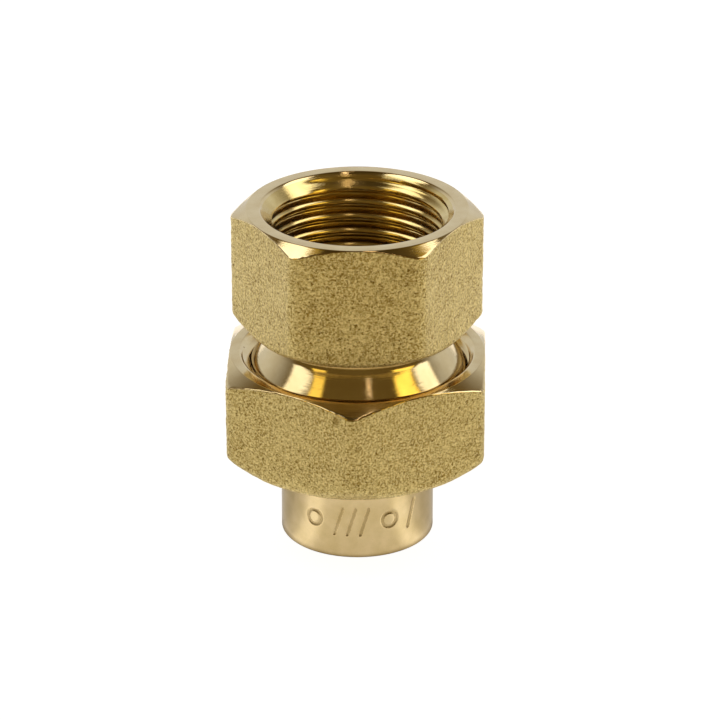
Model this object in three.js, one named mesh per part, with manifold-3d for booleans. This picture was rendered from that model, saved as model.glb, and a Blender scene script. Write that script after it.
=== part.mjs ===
// A brass pipe union: a threaded body and a solder tail, pulled together on a washer by a loose nut.
// Millimetres. +Z runs up the pipe axis, the tail's open end stands on z = 0 and the front is -Y.
import * as THREE from 'three';
import { mergeVertices } from 'three/addons/utils/BufferGeometryUtils.js';
import Module from 'manifold-3d';

const wasm = await Module();
wasm.setup();

const ROUND_STEPS = 48;
const CORNER_STEPS = 4;
const OVERSHOOT = 0.5;

// Both pipe threads are Whitworth form, right-hand, with 14 turns to the inch.
const PITCH = 25.4 / 14;
const THREAD_DEPTH = 0.6403 * PITCH;
const THREAD_FLAT = PITCH / 6;

// Major diameters: G 3/4 under the nut, with its running gap, and Rp 1/2 in the body.
const COUPLING_MAJOR = 26.441;
const COUPLING_GAP = 0.24;
const PIPE_MAJOR = 20.955;

// Radii and heights are measured from each piece's own axis and bottom face.
// Slopes and angles are in degrees.
// A thread's turns run past both of its ends, where the piece's outline cuts them off.
const TAIL = {
  outer: 8.8, socket: 7.55, socketDepth: 12.2, throat: 6.5, length: 14.7,
  flange: 11.9, flangeBottom: 12.7, edge: 0.3,
};

const WASHER = { inner: 8.5, outer: 11.9, thickness: 2 };

const NUT = {
  acrossFlats: 29.2, corner: 1.5, cornerAngle: -91.8, height: 11.94,
  topRing: 14.5, topSlope: 27, bottomRing: 14.4, bottomSlope: 37,
  bore: 9, boreEdge: 0.3, shoulder: 2.3, relief: 13.6, reliefHeight: 1.2, threadTurns: 5, mouth: 13.4,
};

const BODY = {
  acrossFlats: 25.1, corner: 1.8, cornerAngle: 0, hexBottom: 8.8, length: 22.95,
  topRing: 12.5, topSlope: 30, bottomRing: 12.3, bottomSlope: 30,
  neck: 10, neckBottom: 7.4, rim: 12.1, rimTop: 4.6, rimHeight: 0.2,
  threadLength: 4.3, threadEdge: 1, threadTurns: 5, undercut: 0.1,
  waterway: 7.5, socketDepth: 12.45, relief: 10.6, reliefHeight: 1.8, tapping: 9.5, mouth: 11,
  socketThreadStart: 11.75, socketTurns: 7,
};

// Where each piece stands, from the play left between the faces that meet.
const FACE_PLAY = 0.05;
const SHOULDER_PLAY = 0.1;
const washerHeight = TAIL.length + FACE_PLAY;
const bodyHeight = washerHeight + WASHER.thickness + FACE_PLAY;
const nutHeight = TAIL.flangeBottom - SHOULDER_PLAY - NUT.shoulder;

// The coupling thread's two helices start whole pitches apart, so that their flanks stay clear.
const maleThreadStart = -1.25 * PITCH;
const nutThreadStart = maleThreadStart + bodyHeight - nutHeight - PITCH;

function metal(name, color, roughness) {
  return new THREE.MeshStandardMaterial({ name, color, roughness, metalness: 1, flatShading: true });
}

const bodyBrass = metal('body_brass', 0xb59a56, 0.45);
const nutBrass = metal('nut_brass', 0xab8f4c, 0.5);
const tailBrass = metal('tail_brass', 0xc9a468, 0.3);
const fibre = new THREE.MeshStandardMaterial({
  name: 'fibre', color: 0x8a3b2a, roughness: 0.8, metalness: 0,
});

function tangent(degrees) {
  return Math.tan(THREE.MathUtils.degToRad(degrees));
}

// A closed three.js geometry as a manifold-3d solid, without the slivers of a turned shape's axis.
function solidFrom(geometry) {
  geometry.deleteAttribute('normal');
  geometry.deleteAttribute('uv');
  const merged = mergeVertices(geometry);
  const corners = merged.index.array;
  const triangles = [];
  for (let i = 0; i < corners.length; i += 3) {
    const [a, b, c] = corners.slice(i, i + 3);
    if (a !== b && b !== c && c !== a) triangles.push(a, b, c);
  }
  return new wasm.Manifold(new wasm.Mesh({
    numProp: 3,
    vertProperties: new Float32Array(merged.attributes.position.array),
    triVerts: new Uint32Array(triangles),
  }));
}

// A solid of revolution about Z. Its outline of [radius, height] points runs upwards on the outside.
function turned(outline) {
  const points = outline.map(([radius, height]) => new THREE.Vector2(radius, height));
  return solidFrom(new THREE.LatheGeometry(points, ROUND_STEPS).rotateX(Math.PI / 2));
}

// A hexagonal bar with rounded corners, cut at both ends by cones that leave a round flat ring.
function hexBlank(shape, bottom, top) {
  const { acrossFlats, corner, cornerAngle, topRing, topSlope, bottomRing, bottomSlope } = shape;
  const sixth = Math.PI / 3;
  const reach = (acrossFlats / 2 - corner) / Math.cos(sixth / 2);
  const outline = new THREE.Shape();
  for (let side = 0; side < 6; side += 1) {
    const angle = THREE.MathUtils.degToRad(cornerAngle) + side * sixth;
    const [x, y] = [reach * Math.cos(angle), reach * Math.sin(angle)];
    outline.absarc(x, y, corner, angle - sixth / 2, angle + sixth / 2, false);
  }
  outline.closePath();
  const bar = new THREE.ExtrudeGeometry(outline, {
    depth: top - bottom, bevelEnabled: false, curveSegments: CORNER_STEPS,
  });
  const outside = reach + 2 * corner;
  const cones = turned([
    [0, bottom],
    [bottomRing, bottom],
    [outside, bottom + (outside - bottomRing) * tangent(bottomSlope)],
    [outside, top - (outside - topRing) * tangent(topSlope)],
    [topRing, top],
    [0, top],
  ]);
  return solidFrom(bar.translate(0, 0, bottom)).intersect(cones);
}

// A rod with a right-hand thread from its start height upwards, closed at both ends around its axis.
function threadedRod(major, start, pitches) {
  const crest = major / 2;
  const root = crest - THREAD_DEPTH;
  const profile = [
    [root, 0],
    [root, THREAD_FLAT],
    [crest, PITCH / 2],
    [crest, PITCH / 2 + THREAD_FLAT],
  ];
  const size = profile.length;
  const last = size * pitches;
  const positions = [];
  const triangles = [];

  function addPoint(x, y, z) {
    positions.push(x, y, z);
    return positions.length / 3 - 1;
  }

  // Each row climbs the rod at one angle. The first goes one pitch further, to meet the turn's end.
  const rows = [];
  for (let step = 0; step < ROUND_STEPS; step += 1) {
    const turn = step / ROUND_STEPS;
    const angle = turn * 2 * Math.PI;
    const row = [];
    for (let k = 0; k <= (step === 0 ? last + size : last); k += 1) {
      const [radius, rise] = profile[k % size];
      const height = start + rise + (Math.floor(k / size) + turn) * PITCH;
      row.push(addPoint(radius * Math.cos(angle), radius * Math.sin(angle), height));
    }
    rows.push(row);
  }

  const nextRows = [...rows.slice(1), rows[0].slice(size)];
  rows.forEach((row, step) => {
    const next = nextRows[step];
    for (let k = 0; k < last; k += 1) {
      triangles.push(row[k], next[k], next[k + 1]);
      triangles.push(row[k], next[k + 1], row[k + 1]);
    }
  });

  // Each end is a fan from the axis to one turn of the helix and the step that joins its two ends.
  const bottomLoop = [...rows.map((row) => row[0]), ...rows[0].slice(1, size + 1).reverse()];
  const topLoop = [...rows.map((row) => row[last]), ...rows[0].slice(last + 1).reverse()];
  const bottomCentre = addPoint(0, 0, start + PITCH / 2);
  const topCentre = addPoint(0, 0, start + (pitches + 0.5) * PITCH);
  bottomLoop.forEach((point, i) => {
    triangles.push(bottomCentre, bottomLoop[(i + 1) % bottomLoop.length], point);
  });
  topLoop.forEach((point, i) => {
    triangles.push(topCentre, point, topLoop[(i + 1) % topLoop.length]);
  });

  const geometry = new THREE.BufferGeometry();
  geometry.setAttribute('position', new THREE.Float32BufferAttribute(positions, 3));
  geometry.setIndex(triangles);
  return solidFrom(geometry);
}

// The tail: a tube with a socket for the copper pipe below and a flange on top, under the washer.
function solderTail() {
  const { outer, socket, socketDepth, throat, length, flange, flangeBottom, edge } = TAIL;
  return turned([
    [socket + edge, 0],
    [outer - edge, 0],
    [outer, edge],
    [outer, flangeBottom],
    [flange - edge, flangeBottom],
    [flange, flangeBottom + edge],
    [flange, length - edge],
    [flange - edge, length],
    [throat, length],
    [throat, socketDepth],
    [socket, socketDepth],
    [socket, edge],
    [socket + edge, 0],
  ]);
}

function sealingWasher() {
  const { inner, outer, thickness } = WASHER;
  return turned([[inner, 0], [outer, 0], [outer, thickness], [inner, thickness], [inner, 0]]);
}

// The nut: a shoulder that catches the tail's flange, a relief, the female thread and its mouth.
function unionNut() {
  const { height, mouth, bore, boreEdge, shoulder, relief, reliefHeight, threadTurns } = NUT;
  const threadMajor = COUPLING_MAJOR + COUPLING_GAP;
  const threadMinor = threadMajor / 2 - THREAD_DEPTH;
  const hollow = turned([
    [0, -OVERSHOOT],
    [bore + boreEdge + OVERSHOOT, -OVERSHOOT],
    [bore, boreEdge],
    [bore, shoulder],
    [relief, shoulder],
    [relief, shoulder + reliefHeight],
    [threadMinor, shoulder + reliefHeight + relief - threadMinor],
    [threadMinor, height - mouth + threadMinor],
    [mouth + OVERSHOOT, height + OVERSHOOT],
    [0, height + OVERSHOOT],
  ]);
  return hexBlank(NUT, 0, height)
    .subtract(hollow)
    .subtract(threadedRod(threadMajor, nutThreadStart, threadTurns));
}

// The body: a hexagon on a neck that flares out to the male thread, bored through, with the pipe
// socket on top.
function threadedBody() {
  const { length, hexBottom, neck, neckBottom, rim, rimTop, rimHeight } = BODY;
  const { threadLength, threadEdge, threadTurns, undercut } = BODY;
  const { waterway, socketDepth, relief, reliefHeight, tapping, mouth } = BODY;
  const { socketThreadStart, socketTurns } = BODY;
  const maleMajor = COUPLING_MAJOR - COUPLING_GAP;
  const maleMinor = maleMajor / 2 - THREAD_DEPTH;
  const crest = maleMajor / 2;
  const core = maleMinor - undercut;
  const socketFloor = length - socketDepth;

  const shank = turned([
    [0, 0],
    [core, 0],
    [core, threadLength - undercut],
    [rim, rimTop - rimHeight],
    [rim, rimTop],
    [neck, neckBottom],
    [neck, hexBottom + OVERSHOOT],
    [0, hexBottom + OVERSHOOT],
  ]);
  const threadEnds = turned([
    [0, 0],
    [crest - threadEdge, 0],
    [crest + OVERSHOOT, threadEdge + OVERSHOOT],
    [crest + OVERSHOOT, threadLength - threadEdge - OVERSHOOT],
    [crest - threadEdge, threadLength],
    [0, threadLength],
  ]);
  const hollow = turned([
    [0, -OVERSHOOT],
    [waterway, -OVERSHOOT],
    [waterway, socketFloor],
    [relief, socketFloor],
    [relief, socketFloor + reliefHeight],
    [tapping, socketFloor + reliefHeight + relief - tapping],
    [tapping, length - mouth + tapping],
    [mouth + OVERSHOOT, length + OVERSHOOT],
    [0, length + OVERSHOOT],
  ]);
  const maleThread = threadedRod(maleMajor, maleThreadStart, threadTurns).intersect(threadEnds);
  return hexBlank(BODY, hexBottom, length)
    .add(shank)
    .add(maleThread)
    .subtract(hollow)
    .subtract(threadedRod(PIPE_MAJOR, socketThreadStart, socketTurns));
}

function meshFrom(name, solid, material, height) {
  const { vertProperties, triVerts } = solid.getMesh();
  const geometry = new THREE.BufferGeometry();
  geometry.setAttribute('position', new THREE.BufferAttribute(vertProperties, 3));
  geometry.setIndex(new THREE.BufferAttribute(triVerts, 1));
  geometry.computeVertexNormals();
  const mesh = new THREE.Mesh(geometry, material);
  mesh.name = name;
  mesh.position.z = height;
  return mesh;
}

const union = new THREE.Group();
union.name = 'pipe_union';
union.add(
  meshFrom('solder_tail', solderTail(), tailBrass, 0),
  meshFrom('sealing_washer', sealingWasher(), fibre, washerHeight),
  meshFrom('union_nut', unionNut(), nutBrass, nutHeight),
  meshFrom('threaded_body', threadedBody(), bodyBrass, bodyHeight),
);

export default union;
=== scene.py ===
"""The looks of a brass pipe union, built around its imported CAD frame. Metres, +Z up, the front is -Y.

Every piece is made of rings of points round the Z axis, joined in order along an outline. A thread is a
band of rings that climb, and a forged hexagon is a stack of rings with a grainy skin.
"""

import math
from types import SimpleNamespace

import bpy
import numpy as np
from mathutils import Matrix, Vector, noise


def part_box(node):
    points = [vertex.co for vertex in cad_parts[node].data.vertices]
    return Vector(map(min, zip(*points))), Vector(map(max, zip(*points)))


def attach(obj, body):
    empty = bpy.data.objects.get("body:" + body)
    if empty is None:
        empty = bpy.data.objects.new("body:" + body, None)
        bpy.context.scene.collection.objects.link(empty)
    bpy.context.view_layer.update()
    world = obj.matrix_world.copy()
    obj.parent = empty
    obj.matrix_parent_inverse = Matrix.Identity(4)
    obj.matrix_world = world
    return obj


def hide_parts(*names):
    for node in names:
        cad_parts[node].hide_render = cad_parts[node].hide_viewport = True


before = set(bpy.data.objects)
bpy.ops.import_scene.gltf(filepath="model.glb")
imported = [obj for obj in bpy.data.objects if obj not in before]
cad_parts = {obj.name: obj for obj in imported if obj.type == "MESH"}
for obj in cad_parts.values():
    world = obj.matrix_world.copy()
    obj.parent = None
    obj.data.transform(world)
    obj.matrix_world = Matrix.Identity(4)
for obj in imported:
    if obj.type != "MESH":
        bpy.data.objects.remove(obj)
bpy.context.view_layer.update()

MM = 0.001
TURN = 2 * math.pi

# The threads are Whitworth form, right-hand, with 14 turns to the inch: G 3/4 between nut and body, and
# Rp 1/2 in the body's socket. A radius called a crest is the thread's widest.
PITCH = 25.4 / 14 * MM
THREAD_DEPTH = 0.6403 * PITCH
COUPLING_CREST = 26.441 / 2 * MM
COUPLING_GAP = 0.12 * MM
PIPE_CREST = 20.955 / 2 * MM

# The socket is bored to this radius before its thread is cut, which leaves the inner crests off.
TAPPING = 9.5 * MM

# The two forged hexagons. Each has a bevel below, which starts at the bottom ring, and a turned chamfer
# above, which ends at the flat top ring. Slopes are from level, and the corner angle is where one corner
# points, both in degrees. blend rounds the crease between a flat and the bevel. rim_drop is how far the
# chamfer has fallen at RIM outside the top ring. A nick is a knock in the side: the angle where it is,
# its height, its size and its depth.
NUT = SimpleNamespace(
    across_flats=29.2 * MM, corner=1.5 * MM, corner_angle=-91.8, blend=0.9 * MM,
    bottom_ring=14.4 * MM, bottom_slope=37, top_ring=14.5 * MM, top_slope=27, rim_drop=0.075 * MM,
    nick=(-98.4, 10.5 * MM, 0.34 * MM, 0.4 * MM), seed=3.7,
)
BODY = SimpleNamespace(
    across_flats=25.1 * MM, corner=1.8 * MM, corner_angle=0, blend=0.8 * MM,
    bottom_ring=12.3 * MM, bottom_slope=30, top_ring=12.5 * MM, top_slope=30, rim_drop=0.085 * MM,
    nick=None, seed=11.3,
)

# The forged skin: grains on top of wider waves.
GRAIN_SIZE, GRAIN_HEIGHT = 0.42 * MM, 0.055 * MM
WAVE_SIZE, WAVE_HEIGHT = 1.6 * MM, 0.03 * MM

# The tail's tube, and the marks stamped in it: a row of plain rings and slanted bars, which stand for no
# letters. Places are distances round the tube from its front, and heights are from its end. stroke is
# half the width of a line, soft the width of its sloping sides, and lean how far a bar leans over in its
# height.
TAIL_RADIUS = 8.8 * MM
MARKS = SimpleNamespace(
    low=2.4 * MM, high=6.6 * MM, middle=4.6 * MM, depth=0.12 * MM, stroke=0.18 * MM, soft=0.26 * MM,
    ring=0.9 * MM, ring_places=(-5.2 * MM, 3.8 * MM),
    bar_half=1.6 * MM, lean=0.3, bar_places=(-2.2 * MM, -0.7 * MM, 0.8 * MM, 6.8 * MM),
)

# How fine the meshes are: points in a ring, and the distances from one ring to the next. A rounding has
# ROUNDING_POINTS and one more for each step of its length. Edges that bend by more than SHARP_BEND are
# shaded as sharp.
FINE = 600
COARSE = FINE // 2
FORGED_ROW = 0.175 * MM
STAMPED_ROW = 0.13 * MM
STRAIGHT_STEP = 1.2 * MM
ROUNDING_STEP = 0.15 * MM
ROUNDING_POINTS = 5
SHARP_BEND = math.radians(50)

# A plain edge's rounding, a turned rim's, and the thin lip where a turned chamfer cuts the forged skin.
EDGE_ROUND = 0.13 * MM
RIM = 0.15 * MM
LIP_HEIGHT = 0.06 * MM
LIP_WIDTH = 0.7 * LIP_HEIGHT

# Each piece's lowest and highest point in the frame.
tail_low, tail_high = (corner.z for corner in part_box("solder_tail"))
washer_low, washer_high = (corner.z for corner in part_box("sealing_washer"))
nut_low, nut_high = (corner.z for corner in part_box("union_nut"))
body_low, body_high = (corner.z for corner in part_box("threaded_body"))

# Material slots. The nut has TURNED and FORGED, the body TAPPED as well, and the tail TURNED and STAMPED.
# The washer's one material is in the first.
TURNED, FORGED, TAPPED = 0, 1, 2
STAMPED = 1


# --- Rings of points round the axis, joined in order along an outline ---


def ring_angles(steps):
    """The angle of each point of a ring."""
    return np.arange(steps) / steps * TURN


def wrapped(angles):
    """Angles brought to within half a turn of 0."""
    return (angles + math.pi) % TURN - math.pi


class Piece:
    """Collects rings of points and the faces between them, then makes one closed mesh of them."""

    def __init__(self):
        self.points = []
        self.count = 0
        self.faces = []
        self.slots = []

    def ring(self, radii, heights, steps=COARSE):
        """Adds a ring. radii and heights are each one number, or one for every point."""
        angles = ring_angles(steps)
        radii = np.broadcast_to(radii, steps)
        heights = np.broadcast_to(heights, steps)
        self.points.append(np.stack([radii * np.cos(angles), radii * np.sin(angles), heights], 1))
        self.count += steps
        return np.arange(self.count - steps, self.count)

    def add_faces(self, faces, slot):
        """Adds the faces that haven't closed up. slot is one material slot, or one for every face."""
        slots = np.broadcast_to(slot, len(faces)).tolist()
        for face, face_slot in zip(faces, slots):
            corners = [corner for i, corner in enumerate(face) if corner != face[i - 1]]
            if len(corners) > 2:
                self.faces.append(corners)
                self.slots.append(face_slot)

    def join(self, ring, after, slot=TURNED):
        """Faces from a ring to the next one, which may have half or twice as many points."""
        if len(ring) == len(after):
            quads = np.stack([ring, np.roll(ring, -1), np.roll(after, -1), after], 1)
            self.add_faces(quads.tolist(), slot)
            return
        halving = len(ring) > len(after)
        many, few = (ring, after) if halving else (after, ring)
        start, middle, end = many[::2], many[1::2], np.roll(many[::2], -1)
        few_end = np.roll(few, -1)
        triangles = np.concatenate([
            np.stack([start, middle, few], 1),
            np.stack([middle, few_end, few], 1),
            np.stack([middle, end, few_end], 1),
        ])
        self.add_faces((triangles if halving else triangles[:, ::-1]).tolist(), slot)

    def path(self, ring, outline, slot=TURNED):
        """Joins level rings along an outline of (radius, height), from ring on, and returns the last."""
        for radius, height in outline:
            after = self.ring(radius, height)
            self.join(ring, after, slot)
            ring = after
        return ring

    def thread(self, ring, low_z, high_z, helix, radius_at, inward, slot=TURNED):
        """A helical band from ring to the level ring at its other end, which it returns.

        inward means that the band faces the axis and runs down from ring, not up.
        """
        low = self.ring(radius_at(low_z), low_z) if inward else ring
        high = ring if inward else self.ring(radius_at(high_z), high_z)
        # The climbing rings start below the band and end above it. Points past its ends join the end rings.
        first = math.floor((low_z - helix.start) / PITCH) - 1
        turns = math.ceil((high_z - low_z) / PITCH) + 3
        snap = 0.02 * PITCH
        size = len(helix.rows)
        columns = np.empty((COARSE, turns * size + 1), int)
        for row in range(turns * size + 1):
            climb = first + row // size + helix.rows[row % size]
            z = helix.start + (climb + np.arange(COARSE) / COARSE) * PITCH
            level = self.ring(radius_at(z), z)
            columns[:, row] = np.where(z < low_z + snap, low, np.where(z > high_z - snap, high, level))
        # The last column's next one is the first column again, one turn further up its rows.
        last = np.concatenate([columns[0, size:], np.repeat(high[:1], size)])
        after = np.concatenate([columns[1:], last[None]])
        quads = np.stack([columns[:, :-1], after[:, :-1], after[:, 1:], columns[:, 1:]], 2).reshape(-1, 4)
        self.add_faces((quads[:, ::-1] if inward else quads).tolist(), slot)
        return low if inward else high

    def make(self, name, body, node, materials):
        """The finished object, riding on its body in place of its CAD node."""
        points = np.concatenate(self.points)
        used = np.unique(np.concatenate([np.array(face) for face in self.faces]))
        renumber = np.zeros(len(points), int)
        renumber[used] = np.arange(len(used))
        mesh = bpy.data.meshes.new(name)
        mesh.from_pydata(points[used].tolist(), [], [renumber[face].tolist() for face in self.faces])
        mesh.polygons.foreach_set("material_index", np.array(self.slots, np.int32))
        mesh.polygons.foreach_set("use_smooth", np.ones(len(self.faces), bool))
        mesh.set_sharp_from_angle(angle=SHARP_BEND)
        for material in materials:
            mesh.materials.append(material)
        obj = bpy.data.objects.new(name, mesh)
        bpy.context.scene.collection.objects.link(obj)
        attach(obj, body)
        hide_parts(node)
        return obj


def soft_outline(corners, rounding=EDGE_ROUND):
    """(radius, height) points along straight lines, with the corners between them rounded off.

    A corner may give its own rounding after its radius and height. The two roundings at a line's ends
    each take at most their share of it, so that they stay apart.
    """
    most = 0.45
    cuts = [corner[2] if len(corner) > 2 else rounding for corner in corners]
    corners = [np.array(corner[:2], float) for corner in corners]
    outline = [corners[0]]
    for i in range(1, len(corners)):
        arrive = corners[i]
        into = arrive - corners[i - 1]
        if i + 1 == len(corners):
            arc = [arrive]
        else:
            out = corners[i + 1] - arrive
            cut = min(cuts[i], most * np.linalg.norm(into), most * np.linalg.norm(out))
            begin = arrive - into / np.linalg.norm(into) * cut
            end = arrive + out / np.linalg.norm(out) * cut
            shares = np.linspace(0, 1, ROUNDING_POINTS + round(cut / ROUNDING_STEP))
            arc = [(1 - t) ** 2 * begin + 2 * t * (1 - t) * arrive + t**2 * end for t in shares]
        before = outline[-1]
        stretch = arc[0] - before
        parts = max(1, math.ceil(np.linalg.norm(stretch) / STRAIGHT_STEP))
        outline += [before + stretch * part / parts for part in range(1, parts)]
        outline += arc
    return [tuple(point) for point in outline]


class Helix:
    """A right-hand thread: a flat inner part, a flank, a flat outer part and a flank in each pitch.

    rows are the heights of its rings as shares of a pitch, and rises are how far out they are as shares
    of the thread's depth.
    """

    def __init__(self, inner, start, cut=0, ease=0.03):
        """inner is its least radius, and cut the share of its depth that is left off there.

        ease is the share of the depth over which the inner corners are rounded. The outer corners keep a
        small rounding of their own.
        """
        flat, flank = 1 / 6, 1 / 3
        outer_corner = 0.97
        middle = flat / 2
        half = middle + (cut + ease) * flank
        outer = flat + flank
        mid_flank = (middle + half + outer) / 2
        self.inner = inner
        self.start = start
        self.rows = (
            middle - half, middle - half / 2, middle, middle + half / 2, middle + half,
            mid_flank, outer, outer + flat / 2, outer + flat, 1 + flat - mid_flank,
        )
        slope = (cut + ease + 1) / 2
        corner, near_flat = cut + ease, cut + ease / 6
        self.rises = (
            corner, near_flat, cut, near_flat, corner,
            slope, outer_corner, 1, outer_corner, slope,
        )

    def radius(self, z):
        """The radius at heights z, one for each point of a coarse ring."""
        share = ((z - self.start) / PITCH - np.arange(COARSE) / COARSE - self.rows[0]) % 1 + self.rows[0]
        rows = self.rows + (1 + self.rows[0],)
        rises = self.rises + self.rises[:1]
        return self.inner + THREAD_DEPTH * np.interp(share, rows, rises)


# The helices start where the CAD ones do: the coupling thread's two a whole pitch apart.
male_helix = Helix(COUPLING_CREST - COUPLING_GAP - THREAD_DEPTH, body_low - 1.25 * PITCH)
nut_helix = Helix(COUPLING_CREST + COUPLING_GAP - THREAD_DEPTH, body_low - 2.25 * PITCH)
pipe_inner = PIPE_CREST - THREAD_DEPTH
pipe_helix = Helix(pipe_inner, body_low + 11.75 * MM, cut=(TAPPING - pipe_inner) / THREAD_DEPTH, ease=0.1)


def tapped_hole(helix, mouth, high_z, groove, groove_z):
    """A function that gives the radius of a threaded hole at any height.

    The hole has a 45 degree mouth at high_z, then the thread, then a groove whose side ends at groove_z.
    """

    def radius_at(z):
        z = np.asarray(z, float)
        cone = mouth - (high_z - z)
        run_out = np.minimum(groove - (z - groove_z), groove)
        return np.maximum(np.maximum(helix.radius(z), cone), run_out)

    return radius_at


# --- Forged faces: a hexagon with rounded corners and a grainy skin ---


def hex_radius(across_flats, corner, corner_angle):
    """The hexagon's radius at each point of a fine ring."""
    sixth = TURN / 6
    angles = ring_angles(FINE) - math.radians(corner_angle)
    off_corner = np.abs((angles + sixth / 2) % sixth - sixth / 2)
    flat = across_flats / 2
    centre = (flat - corner) / math.cos(sixth / 2)
    on_flat = flat / np.cos(sixth / 2 - off_corner)
    on_corner = centre * np.cos(off_corner)
    on_corner += np.sqrt(np.maximum(corner**2 - (centre * np.sin(off_corner)) ** 2, 0))
    arc_end = sixth / 2 - math.atan((flat - corner) * math.tan(sixth / 2) / flat)
    return np.where(off_corner < arc_end, on_corner, on_flat)


def soft_least(a, b, blend):
    """The lesser of two lengths, with the crease between them rounded over."""
    share = np.maximum(blend - np.abs(a - b), 0) / blend
    return np.minimum(a, b) - share**2 * blend / 4


def forged_grain(radii, heights, seed):
    """How far the grainy skin stands out from each point of a fine ring."""
    angles = ring_angles(FINE)
    x, y = radii * np.cos(angles), radii * np.sin(angles)
    heights = np.broadcast_to(heights, FINE)
    offset = Vector((seed, seed, seed))
    out = np.empty(FINE)
    for i, point in enumerate(zip(x, y, heights)):
        place = Vector(point)
        grain = noise.noise(place / GRAIN_SIZE + offset)
        wave = noise.noise(place / WAVE_SIZE - offset)
        out[i] = GRAIN_HEIGHT * grain + WAVE_HEIGHT * wave
    return out


def nick_depth(radii, heights, nick):
    """How deep a knock has dented the side at each point of a fine ring. nick is None for no knock."""
    if nick is None:
        return 0
    angle, place, size, depth = nick
    along = wrapped(ring_angles(FINE) - math.radians(angle)) * radii
    return depth * np.exp(-(along**2 + (heights - place) ** 2) / size**2)


def forged_side(piece, ring, shape, low_z, high_z):
    """The forged flats from ring up, then the turned chamfer above. Returns the chamfer's last ring."""
    wall = hex_radius(shape.across_flats, shape.corner, shape.corner_angle)
    low_slope = math.tan(math.radians(shape.bottom_slope))
    top_slope = math.tan(math.radians(shape.top_slope))

    def radius_at(z):
        bevel = shape.bottom_ring + (z - low_z) / low_slope
        side = soft_least(wall, bevel, shape.blend)
        return side + forged_grain(side, z, shape.seed) - nick_depth(side, z - low_z, shape.nick)

    def chamfer_z(radius):
        return high_z - (radius - shape.top_ring) * top_slope

    # The ragged edge lies where the chamfer meets the skin. Each round brings the two closer together.
    least_chamfer, first_guess, rounds = 0.05 * MM, 1 * MM, 4
    edge_z = np.full(FINE, high_z - first_guess)
    for _ in range(rounds):
        edge_r = np.maximum(radius_at(edge_z), shape.top_ring + least_chamfer)
        edge_z = chamfer_z(edge_r)

    top_z = edge_z - LIP_HEIGHT
    rows = round((high_z - low_z) / FORGED_ROW)
    for row in range(rows):
        z = low_z + (top_z - low_z) * row / rows
        after = piece.ring(radius_at(z), z, FINE)
        piece.join(ring, after, FORGED)
        ring = after
    after = piece.ring(edge_r, top_z, FINE)
    piece.join(ring, after, FORGED)
    ring = after

    # The chamfer starts with a thin bright lip. The places of its rings are shares of its width.
    width = edge_r - shape.top_ring
    fine_place, coarse_places = 0.8, (0.55, 0.3, 0.12)
    radii = [edge_r - LIP_WIDTH, shape.top_ring + width * fine_place]
    radii += [shape.top_ring + width[::2] * place for place in coarse_places]
    for radius in radii:
        after = piece.ring(radius, chamfer_z(radius), len(radius))
        piece.join(ring, after, TURNED)
        ring = after
    return ring


def turned_rim(shape, mouth, depth, high_z):
    """The outline from the top chamfer over the flat ring, and down to depth in a 45 degree mouth."""
    corners = [
        (shape.top_ring + RIM, high_z - shape.rim_drop),
        (shape.top_ring, high_z),
        (mouth, high_z),
        (mouth - depth, high_z - depth),
    ]
    return soft_outline(corners, RIM)[1:]


# --- The four pieces ---


def make_tail(materials):
    """The solder tail: a plain tube, its flange under the washer, and a stamped row of plain marks."""
    socket, throat, flange = 7.55 * MM, 6.5 * MM, 11.9 * MM
    socket_top = tail_low + 12.2 * MM
    flange_low = tail_low + 12.7 * MM
    edge, edge_points = 0.2 * MM, 7
    flange_edge = 0.2 * MM

    piece = Piece()
    first = piece.ring(socket + edge, tail_low)
    end_face = soft_outline([(socket + edge, tail_low), (TAIL_RADIUS - edge, tail_low)])
    ring = piece.path(first, end_face[1:])
    rounding = [
        (TAIL_RADIUS - edge + edge * math.sin(turn), tail_low + edge - edge * math.cos(turn))
        for turn in np.linspace(0, TURN / 4, edge_points)
    ]
    ring = piece.path(ring, rounding[1:])
    ring = stamped_band(piece, ring)
    outline = soft_outline([
        (TAIL_RADIUS, tail_low + MARKS.high),
        (TAIL_RADIUS, flange_low),
        (flange, flange_low),
        (flange, tail_high),
        (throat, tail_high),
        (throat, socket_top),
        (socket, socket_top),
        (socket, tail_low + edge),
        (socket + edge, tail_low),
    ], flange_edge)
    ring = piece.path(ring, outline[1:-1])
    piece.join(ring, first)
    return piece.make("tail_tube", "tail", "solder_tail", materials)


def stamped_band(piece, ring):
    """The part of the tube with the marks, from ring up. The marks have a material of their own, whose
    darker colour is painted shade in their grooves.
    """
    after = piece.ring(TAIL_RADIUS, tail_low + MARKS.low, FINE)
    piece.join(ring, after)
    ring = after
    rows = round((MARKS.high - MARKS.low) / STAMPED_ROW)
    for row in range(1, rows + 1):
        height = MARKS.low + (MARKS.high - MARKS.low) * row / rows
        depth = stamp_depth(height)
        after = piece.ring(TAIL_RADIUS - depth, tail_low + height, FINE)
        piece.join(ring, after, np.where(depth > MARKS.depth / 2, STAMPED, TURNED))
        ring = after
    return ring


def stamp_depth(height):
    """How deep the marks cut at a height above the tail's end, for each point of a fine ring."""
    along = wrapped(ring_angles(FINE) + TURN / 4) * TAIL_RADIUS
    up = height - MARKS.middle
    beside_bar = min(max(up, -MARKS.bar_half), MARKS.bar_half)
    distances = [np.abs(np.hypot(along - place, up) - MARKS.ring) for place in MARKS.ring_places]
    distances += [
        np.hypot(along - place - MARKS.lean * beside_bar, up - beside_bar) for place in MARKS.bar_places
    ]
    nearest = np.minimum.reduce(distances)
    cut = np.clip(0.5 - (nearest - MARKS.stroke) / MARKS.soft, 0, 1)
    return MARKS.depth * cut**2 * (3 - 2 * cut)


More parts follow.
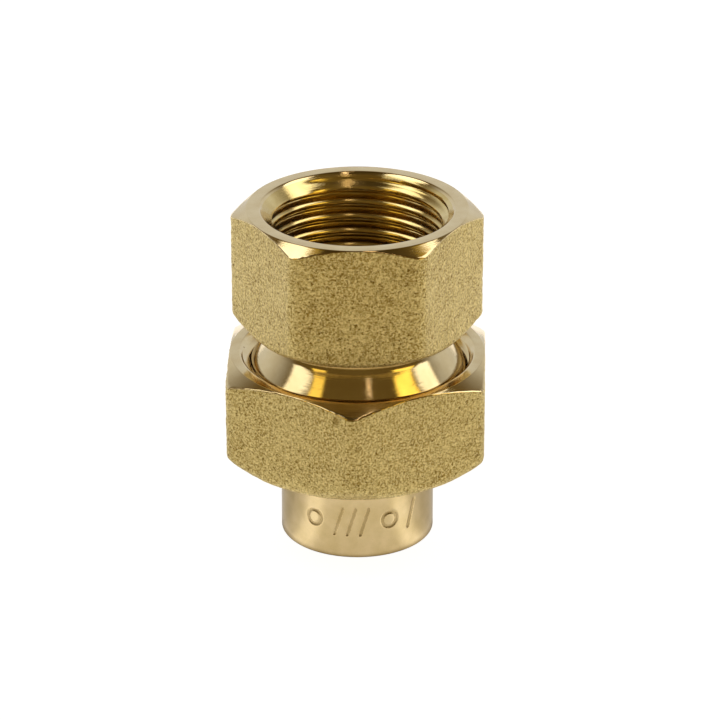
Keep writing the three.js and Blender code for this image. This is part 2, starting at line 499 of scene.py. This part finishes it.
def make_washer(materials):
    """The flat sealing washer."""
    inner, outer, edge = 8.5 * MM, 11.9 * MM, 0.3 * MM
    middle = (inner + outer) / 2

    piece = Piece()
    outline = soft_outline([
        (middle, washer_low), (outer, washer_low), (outer, washer_high),
        (inner, washer_high), (inner, washer_low), (middle, washer_low),
    ], edge)
    first = piece.ring(*outline[0])
    ring = piece.path(first, outline[1:-1])
    piece.join(ring, first)
    return piece.make("washer_ring", "tail", "sealing_washer", materials)


def make_nut(materials):
    """The loose nut: forged flats, turned top, shoulder below and the female coupling thread inside."""
    bore, bore_edge = 9 * MM, 0.3 * MM
    end_face = NUT.bottom_ring - 1 * MM
    shoulder = nut_low + 2.3 * MM
    groove, groove_height = 13.6 * MM, 1.2 * MM
    mouth, mouth_depth = 13.4 * MM, 0.3 * MM
    thread_low = shoulder + groove_height
    hole = tapped_hole(nut_helix, mouth, nut_high, groove, thread_low)

    piece = Piece()
    first = piece.ring(bore + bore_edge, nut_low)
    bottom = soft_outline([(bore + bore_edge, nut_low), (end_face, nut_low)])
    ring = piece.path(first, bottom[1:], FORGED)
    ring = forged_side(piece, ring, NUT, nut_low, nut_high)
    ring = piece.path(ring, turned_rim(NUT, mouth, mouth_depth, nut_high))
    ring = piece.thread(ring, thread_low, nut_high - mouth_depth, nut_helix, hole, inward=True)
    inside = soft_outline([
        (groove, thread_low), (groove, shoulder), (bore, shoulder),
        (bore, nut_low + bore_edge), (bore + bore_edge, nut_low),
    ])
    ring = piece.path(ring, inside[1:-1])
    piece.join(ring, first)
    return piece.make("nut_forging", "nut", "union_nut", materials)


def make_body(materials):
    """The body: male thread, cone and neck below, a forged hexagon, and the pipe socket from the top."""
    waterway, seat_edge = 7.5 * MM, 0.3 * MM
    crest, thread_edge = COUPLING_CREST - COUPLING_GAP, 1 * MM
    thread_top = body_low + 4.3 * MM
    rim, rim_low, rim_high = 12.1 * MM, body_low + 4.4 * MM, body_low + 4.6 * MM
    neck, neck_low = 10 * MM, body_low + 7.4 * MM
    neck_low_round, neck_high_round = 1 * MM, 0.4 * MM
    hex_low = body_low + 8.8 * MM
    hex_face = BODY.bottom_ring - 0.3 * MM
    mouth, mouth_depth = 11 * MM, 0.25 * MM
    groove, groove_height = 10.6 * MM, 1.8 * MM
    socket_floor = body_high - 12.45 * MM
    socket_low, socket_top = socket_floor + groove_height, body_high - mouth_depth
    hole = tapped_hole(pipe_helix, mouth, body_high, groove, socket_low)

    def rod(z):
        z = np.asarray(z, float)
        ends = crest - thread_edge + np.minimum(z - body_low, thread_top - z)
        return np.minimum(male_helix.radius(z), ends)

    piece = Piece()
    first = piece.ring(waterway, body_low)
    seat = soft_outline([(waterway, body_low), (crest - THREAD_DEPTH - seat_edge, body_low)])
    ring = piece.path(first, seat[1:])
    after = piece.ring(rod(body_low), body_low)
    piece.join(ring, after)
    ring = piece.thread(after, body_low, thread_top, male_helix, rod, inward=False)
    neck_outline = soft_outline([
        (rim, rim_low), (rim, rim_high), (neck, neck_low, neck_low_round),
        (neck, hex_low, neck_high_round), (hex_face, hex_low),
    ])
    ring = piece.path(ring, neck_outline)
    ring = forged_side(piece, ring, BODY, hex_low, body_high)
    ring = piece.path(ring, turned_rim(BODY, mouth, mouth_depth, body_high))
    ring = piece.thread(ring, socket_low, socket_top, pipe_helix, hole, inward=True, slot=TAPPED)
    inside = soft_outline([
        (groove, socket_low), (groove, socket_floor), (waterway, socket_floor), (waterway, body_low),
    ])
    ring = piece.path(ring, inside[1:-1], TAPPED)
    piece.join(ring, first, TAPPED)
    return piece.make("body_forging", "body", "threaded_body", materials)


# --- Materials ---


class Graph:
    """A node tree, with short calls for the nodes that the materials and the room share."""

    def __init__(self, tree):
        self.tree = tree

    def add(self, kind):
        return self.tree.nodes.new(kind)

    def feed(self, socket, value):
        """Gives a socket a number or a colour of its own, or links another node's output to it."""
        if isinstance(value, (int, float)):
            socket.default_value = value
        elif isinstance(value, tuple):
            socket.default_value = (*value, 1)
        else:
            self.tree.links.new(value, socket)

    def camera_ray(self):
        """1 for what the camera sees directly, 0 for what is mirrored or lights something."""
        return self.add("ShaderNodeLightPath").outputs["Is Camera Ray"]

    def split(self, vector):
        """A vector's x, y and z."""
        node = self.add("ShaderNodeSeparateXYZ")
        self.feed(node.inputs["Vector"], vector)
        return [node.outputs[axis] for axis in "XYZ"]

    def fade(self, value, start, end):
        """A smooth step from 0 at start to 1 at end."""
        node = self.add("ShaderNodeMapRange")
        node.interpolation_type = "SMOOTHSTEP"
        self.feed(node.inputs["From Min"], start)
        self.feed(node.inputs["From Max"], end)
        self.feed(node.inputs["Value"], value)
        return node.outputs["Result"]

    def math(self, kind, *values):
        """A sum, product or other result of numbers and outputs."""
        node = self.add("ShaderNodeMath")
        node.operation = kind
        for socket, value in zip(node.inputs, values):
            self.feed(socket, value)
        return node.outputs["Value"]

    def ramp(self, factor, stops):
        """stops is a list of (place, colour), where a colour is one grey number or three."""
        node = self.add("ShaderNodeValToRGB")
        elements = node.color_ramp.elements
        while len(elements) < len(stops):
            elements.new(1)
        for element, (place, colour) in zip(elements, stops):
            element.position = place
            element.color = (*(colour if isinstance(colour, tuple) else (colour,) * 3), 1)
        self.feed(node.inputs["Fac"], factor)
        return node.outputs["Color"]

    def mix(self, factor, a, b, kind="MIX"):
        """a where factor is 0, and b, or the blend of both that kind names, where it is 1."""
        node = self.add("ShaderNodeMix")
        node.data_type = "RGBA"
        node.blend_type = kind
        for name, value in (("Factor", factor), ("A", a), ("B", b)):
            self.feed(next(s for s in node.inputs if s.name == name and s.enabled), value)
        return next(s for s in node.outputs if s.enabled)

    def multiply(self, a, b):
        return self.mix(1.0, a, b, "MULTIPLY")


class Nodes(Graph):
    """A new material's nodes."""

    def __init__(self, name):
        self.material = bpy.data.materials.new(name)
        self.material.use_nodes = True
        super().__init__(self.material.node_tree)
        self.shader = self.tree.nodes["Principled BSDF"]
        self.place = self.add("ShaderNodeTexCoord").outputs["Object"]

    def set(self, **values):
        """Gives the shader constant numbers: metallic=1.0 sets its Metallic."""
        for name, value in values.items():
            self.feed(self.shader.inputs[name.replace("_", " ").title()], value)

    def link(self, output, name):
        """Links an output to the shader's input of that name."""
        self.feed(self.shader.inputs[name], output)

    def noise(self, size, detail=2, rough=0.5, vector=None):
        """Noise whose grains are about size across."""
        node = self.add("ShaderNodeTexNoise")
        self.feed(node.inputs["Scale"], 1 / size)
        self.feed(node.inputs["Detail"], detail)
        self.feed(node.inputs["Roughness"], rough)
        self.feed(node.inputs["Vector"], vector or self.place)
        return node.outputs["Fac"]

    def shifted(self, distance):
        """Places moved along, so that a second noise doesn't follow the first."""
        node = self.add("ShaderNodeVectorMath")
        node.inputs[1].default_value = (distance, distance, distance)
        self.feed(node.inputs[0], self.place)
        return node.outputs["Vector"]

    def reach(self):
        """The distance from the axis."""
        x, y, _ = self.split(self.place)
        return self.math("SQRT", self.math("ADD", self.math("MULTIPLY", x, x), self.math("MULTIPLY", y, y)))

    def turning_marks(self, size):
        """Noise in fine rings round the axis, as a lathe tool leaves them."""
        join = self.add("ShaderNodeCombineXYZ")
        self.feed(join.inputs["X"], self.reach())
        self.feed(join.inputs["Z"], self.split(self.place)[2])
        return self.noise(size, detail=3, rough=0.7, vector=join.outputs["Vector"])

    def bump(self, height, depth):
        """Bumps the surface, where a height of 1 stands out by depth."""
        node = self.add("ShaderNodeBump")
        self.feed(node.inputs["Distance"], depth)
        self.feed(node.inputs["Height"], height)
        self.link(node.outputs["Normal"], "Normal")


def turned_brass(name, pale, deep, roughness, marks):
    """Turned brass: bright, a little uneven in colour and polish, with fine rings as deep as marks says."""
    cloud_size, ring_size, unevenness = 2.2 * MM, 0.14 * MM, 0.08
    nodes = Nodes(name)
    nodes.set(metallic=1.0)
    cloud = nodes.noise(cloud_size, detail=4)
    rings = nodes.turning_marks(ring_size)
    nodes.link(nodes.ramp(cloud, [(0.35, deep), (0.65, pale)]), "Base Color")
    nodes.link(nodes.math("MULTIPLY_ADD", cloud, unevenness, roughness), "Roughness")
    nodes.bump(rings, marks)
    return nodes.material


def forged_brass(name, pale, deep, pit):
    """Blasted forged brass: close grains, with painted shade that leaves them pale on their tops and dark
    in the pits among them.
    """
    grain_size, pit_size, patch_size, shift = 0.23 * MM, 0.32 * MM, 3.5 * MM, 7 * MM
    pit_fall, depth = 0.35, 0.2 * MM
    nodes = Nodes(name)
    nodes.set(metallic=1.0)
    grain = nodes.noise(grain_size, detail=3, rough=0.6)
    pits = nodes.noise(pit_size, detail=2, rough=0.6, vector=nodes.shifted(shift))
    patches = nodes.noise(patch_size, detail=3)
    between_pits = nodes.ramp(pits, [(0.3, 0.0), (0.41, 1.0)])
    # Painted shade: the colour is darker where the grain is low, and the pit colour fills the pits, where
    # the bump is lowest.
    painted_grain_shade = nodes.ramp(grain, [(0.38, deep), (0.62, pale)])
    wear_and_painted_shade = nodes.mix(nodes.ramp(patches, [(0.35, 0.0), (0.7, 0.3)]), painted_grain_shade, pale)
    nodes.link(nodes.mix(between_pits, pit, wear_and_painted_shade), "Base Color")
    height = nodes.math("MULTIPLY_ADD", between_pits, pit_fall, grain)
    nodes.link(nodes.ramp(height, [(0.3, 0.6), (0.9, 0.42)]), "Roughness")
    nodes.bump(height, depth)
    return nodes.material


def pressed_fibre(name, pale, deep):
    """Pressed fibre: matt, with short strands."""
    strand_size, depth = 0.3 * MM, 0.04 * MM
    nodes = Nodes(name)
    nodes.set(roughness=0.75)
    strands = nodes.noise(strand_size, detail=4, rough=0.7)
    nodes.link(nodes.ramp(strands, [(0.3, deep), (0.7, pale)]), "Base Color")
    nodes.bump(strands, depth)
    return nodes.material


# Each finish's pale and deep colour, and then the colour of its pits if it has any.
turned = (0.76, 0.61, 0.33), (0.7, 0.54, 0.27)
tapped = (0.76, 0.6, 0.27), (0.64, 0.48, 0.18)
tail_face = (0.66, 0.52, 0.28), (0.58, 0.45, 0.22)
# The marks' darker colours are painted shade in the stamped grooves.
tail_mark_painted_shade = (0.52, 0.4, 0.2), (0.43, 0.32, 0.14)
# The forged deep and pit colours are painted shade for the low grains and the pits.
forged = (0.765, 0.63, 0.275), (0.325, 0.22, 0.05), (0.24, 0.15, 0.03)
red_fibre = (0.24, 0.045, 0.025), (0.13, 0.02, 0.012)

body_tapped = turned_brass("body_tapped_brass", *tapped, roughness=0.12, marks=0.01 * MM)
body_turned = turned_brass("body_turned_brass", *turned, roughness=0.05, marks=0.007 * MM)
nut_turned = turned_brass("nut_turned_brass", *turned, roughness=0.06, marks=0.006 * MM)
tail_turned = turned_brass("tail_turned_brass", *tail_face, roughness=0.08, marks=0.004 * MM)
tail_stamped = turned_brass("tail_stamped_shaded_brass", *tail_mark_painted_shade, roughness=0.35, marks=0.008 * MM)
body_forged = forged_brass("body_forged_brass", *forged)
nut_forged = forged_brass("nut_forged_brass", *forged)
washer_fibre = pressed_fibre("washer_fibre", *red_fibre)

make_tail([tail_turned, tail_stamped])
make_washer([washer_fibre])
make_nut([nut_turned, nut_forged])
make_body([body_turned, body_forged, body_tapped])


# --- Studio ---
#
# A floor and a room that are white to the camera, and soft boxes overhead at both sides. What the brass
# mirrors of the floor and the room is pale behind, and dim and warm in front and overhead. Narrow amber
# lights, beside the boxes and at the front's two sides, put orange streaks in it, and a thin rose strip
# overhead puts one down its middle.

LIGHT_HEIGHT = 0.6
WHITE = (1, 1, 1)
AMBER = (1, 0.74, 0.17)
ROSE = (1, 0.8, 0.62)

scene = bpy.context.scene
scene.view_settings.view_transform = "Standard"


def floor_glow(nodes):
    """The floor's painted glow that the brass mirrors: bright behind, dim and warm in front, and uneven
    near the object.
    """
    dim_y, bright_y = -0.14, 0.01
    far, close = 45 * MM, 25 * MM
    contact, clear = TAIL_RADIUS - 0.1 * MM, TAIL_RADIUS + 0.9 * MM
    y, reach = nodes.split(nodes.place)[1], nodes.reach()
    glow = nodes.ramp(nodes.fade(y, dim_y, bright_y), [(0, (0.31, 0.22, 0.07)), (1, (0.87, 0.88, 0.92))])
    # Close by, painted light makes the floor brightest at the front's two sides. backward is 0 in front and
    # 1 behind.
    backward = nodes.math("MULTIPLY", nodes.math("ADD", nodes.math("DIVIDE", y, reach), 1.0), 0.5)
    painted_side_light = nodes.ramp(backward, [
        (0, 0.7), (0.1, 0.75), (0.17, 1.25), (0.25, 1.15), (0.33, 0.65), (0.5, 0.33), (1, 0.3),
    ])
    painted_near_light = nodes.mix(nodes.fade(reach, far, close), WHITE, painted_side_light)
    # A painted contact shadow makes it dark where the object touches it.
    painted_contact_shadow = nodes.ramp(nodes.fade(reach, contact, clear), [(0, 0.15), (1, 1.0)])
    return nodes.multiply(glow, nodes.multiply(painted_near_light, painted_contact_shadow))


def make_floor():
    """A plain floor just under the object, white to the camera."""
    half, gap = 3.0, 0.02 * MM
    corners = [(-half, -half, 0), (half, -half, 0), (half, half, 0), (-half, half, 0)]
    mesh = bpy.data.meshes.new("floor")
    mesh.from_pydata(corners, [], [(0, 1, 2, 3)])
    floor = bpy.data.objects.new("floor", mesh)
    scene.collection.objects.link(floor)
    floor.location.z = tail_low - gap
    nodes = Nodes("floor_paper")
    nodes.set(roughness=0.9, emission_strength=1)
    glow = floor_glow(nodes)
    nodes.link(nodes.mix(nodes.camera_ray(), glow, (0.92, 0.92, 0.92)), "Emission Color")
    nodes.link(nodes.mix(nodes.camera_ray(), (0.7, 0.7, 0.7), (0.3, 0.3, 0.3)), "Base Color")
    mesh.materials.append(nodes.material)


def make_room():
    """A world that is pale low down behind, dim and warm elsewhere, and darkest overhead."""
    world = bpy.data.worlds.new("room")
    scene.world = world
    world.use_nodes = True
    room = Graph(world.node_tree)
    _, y, z = room.split(room.add("ShaderNodeTexCoord").outputs["Generated"])
    dim = room.ramp(room.fade(z, 0.86, 0.97), [(0, (0.14, 0.095, 0.03)), (1, (0.06, 0.04, 0.012))])
    behind = room.math("MULTIPLY", room.fade(y, -0.2, 0.65), room.fade(z, 0.75, 0.35))
    mirrored = room.mix(behind, dim, (0.74, 0.76, 0.82))
    backdrop = room.mix(room.camera_ray(), mirrored, (1.1, 1.1, 1.1))
    room.feed(room.tree.nodes["Background"].inputs["Color"], backdrop)


def area_light(name, width, length, radiance, colour):
    """A rectangular light that the camera doesn't see. It faces down until it is turned."""
    light = bpy.data.lights.new(name, "AREA")
    light.shape = "RECTANGLE"
    light.color = colour
    light.size, light.size_y = width, length
    light.energy = radiance * math.pi * width * length
    lamp = bpy.data.objects.new(name, light)
    scene.collection.objects.link(lamp)
    lamp.visible_camera = False
    return lamp


def soft_box(name, x, y, radiance, colour=WHITE):
    """A light facing down from LIGHT_HEIGHT. x and y are its ends as shares of that height."""
    width, length = [(end - start) * LIGHT_HEIGHT for start, end in (x, y)]
    lamp = area_light(name, width, length, radiance, colour)
    lamp.location = (sum(x) / 2 * LIGHT_HEIGHT, sum(y) / 2 * LIGHT_HEIGHT, LIGHT_HEIGHT)


def side_panel(name, low, high, width, radiance, colour):
    """A long narrow light between two places, facing the object."""
    low, high = Vector(low), Vector(high)
    lamp = area_light(name, width, (high - low).length, radiance, colour)
    lamp.location = (low + high) / 2
    upward = (high - low).normalized()
    across = upward.cross(lamp.location).normalized()
    lamp.rotation_euler = Matrix((across, upward, across.cross(upward))).transposed().to_euler()


make_floor()
make_room()
soft_box("box_left", (-0.95, -0.34), (-0.25, 0.45), 1.9)
soft_box("box_far_left", (-2.2, -0.95), (-0.55, -0.03), 1.5)
soft_box("box_right", (0.49, 1.3), (-0.06, 0.5), 1.9)
soft_box("box_far_right", (1.3, 2.8), (-0.3, 0.4), 1.5)
soft_box("fringe_left", (-0.34, -0.26), (0.1, 0.45), 0.4, AMBER)
soft_box("fringe_right", (0.42, 0.49), (0.1, 0.5), 0.4, AMBER)
side_panel("amber_left", (-0.225, -0.195, 0.14), (-0.36, -0.275, 0.5), 0.1, 1.4, AMBER)
side_panel("amber_right", (0.25, -0.14, 0.14), (0.4, -0.21, 0.5), 0.15, 2.0, AMBER)
side_panel("strip_middle", (0.15, -0.55, LIGHT_HEIGHT), (0.04, 0.16, LIGHT_HEIGHT), 0.02, 3, ROSE)


# --- Camera: a long lens that looks down a little at the object's front. The lens is in millimetres. ---

ELEVATION = math.radians(24.8)
DISTANCE = 407.35 * MM
LENS, SENSOR = 178.03, 36
NEAREST = 0.01
AIM = Vector((0.31 * MM, 0, (tail_low + body_high) / 2 + 1.04 * MM))

camera_data = bpy.data.cameras.new("camera")
camera_data.sensor_width = SENSOR
camera_data.lens = LENS
camera_data.clip_start = NEAREST
camera = bpy.data.objects.new("camera", camera_data)
scene.collection.objects.link(camera)
back = Vector((0, -math.cos(ELEVATION), math.sin(ELEVATION)))
camera.location = AIM + back * DISTANCE
camera.rotation_euler = (-back).to_track_quat("-Z", "Y").to_euler()
scene.camera = camera
